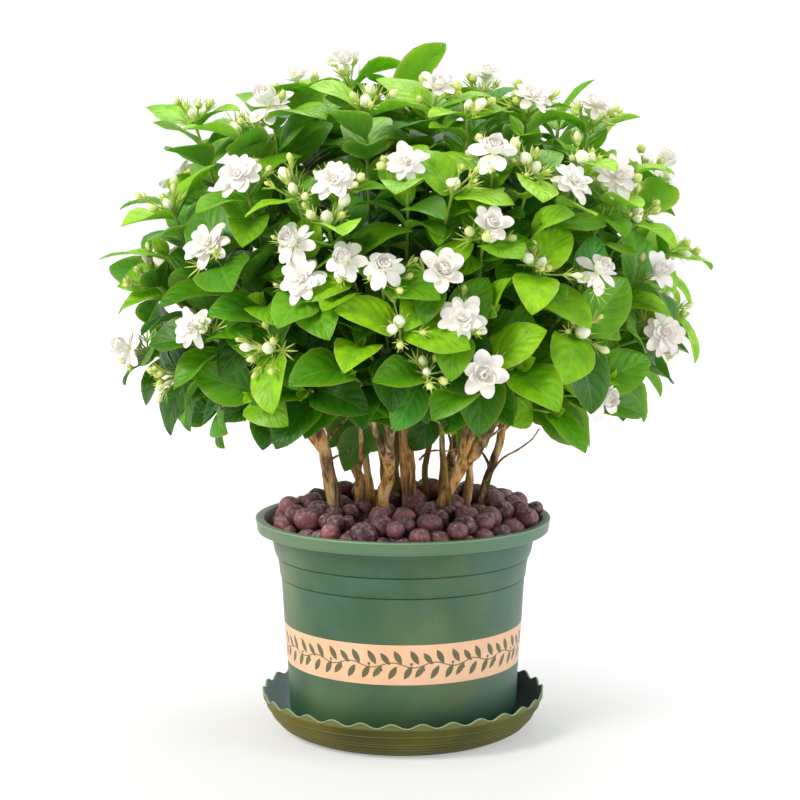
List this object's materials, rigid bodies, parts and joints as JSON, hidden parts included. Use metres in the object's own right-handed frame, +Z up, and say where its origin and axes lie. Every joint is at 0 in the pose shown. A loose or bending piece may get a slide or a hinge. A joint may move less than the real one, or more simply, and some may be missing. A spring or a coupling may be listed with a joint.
{
  "type": "potted jasmine",
  "caption": "Double-flowered jasmine bush in a green plastic pot with clay pebbles, standing on a scalloped saucer.",
  "frame": {"origin": "middle of the saucer's flat underside", "axes": "+Z up; the camera of the picture looks along +Y, so -Y is the front"},
  "size_m": [0.4573, 0.4678, 0.5299],
  "materials": {
    "pot_plastic": "satin moulded green plastic",
    "saucer_plastic": "satin moulded olive-brown plastic",
    "soil": "damp potting soil",
    "clay": "fired clay pebbles, dusty purple-brown",
    "foliage": "bark below, glossy green shoots and leaves above",
    "petal": "soft white petals"
  },
  "bodies": {
    "root": {"flower_01": "petal", "flower_02": "petal", "flower_03": "petal", "flower_04": "petal", "flower_05": "petal", "flower_06": "petal", "flower_07": "petal", "flower_08": "petal", "flower_09": "petal", "flower_10": "petal", "flower_11": "petal", "flower_12": "petal", "flower_13": "petal", "flower_14": "petal", "flower_15": "petal", "flower_16": "petal", "flower_17": "petal", "flower_18": "petal", "flower_19": "petal", "flower_20": "petal", "flower_21": "petal", "flower_22": "petal", "flower_23": "petal", "flower_24": "petal", "flower_25": "petal", "flower_26": "petal", "flower_27": "petal", "flower_28": "petal", "flower_29": "petal", "flower_30": "petal", "flower_31": "petal", "flower_32": "petal", "flower_33": "petal", "flower_34": "petal", "flower_35": "petal", "flower_36": "petal", "flower_37": "petal", "flower_38": "petal", "flower_39": "petal", "pebbles": "clay", "pot": "pot_plastic", "saucer": "saucer_plastic", "soil": "soil", "stem_1": "foliage", "stem_2": "foliage", "stem_3": "foliage", "stem_4": "foliage", "stem_5": "foliage", "stem_6": "foliage", "stem_7": "foliage", "stem_8": "foliage"}
  },
  "joints": []
}
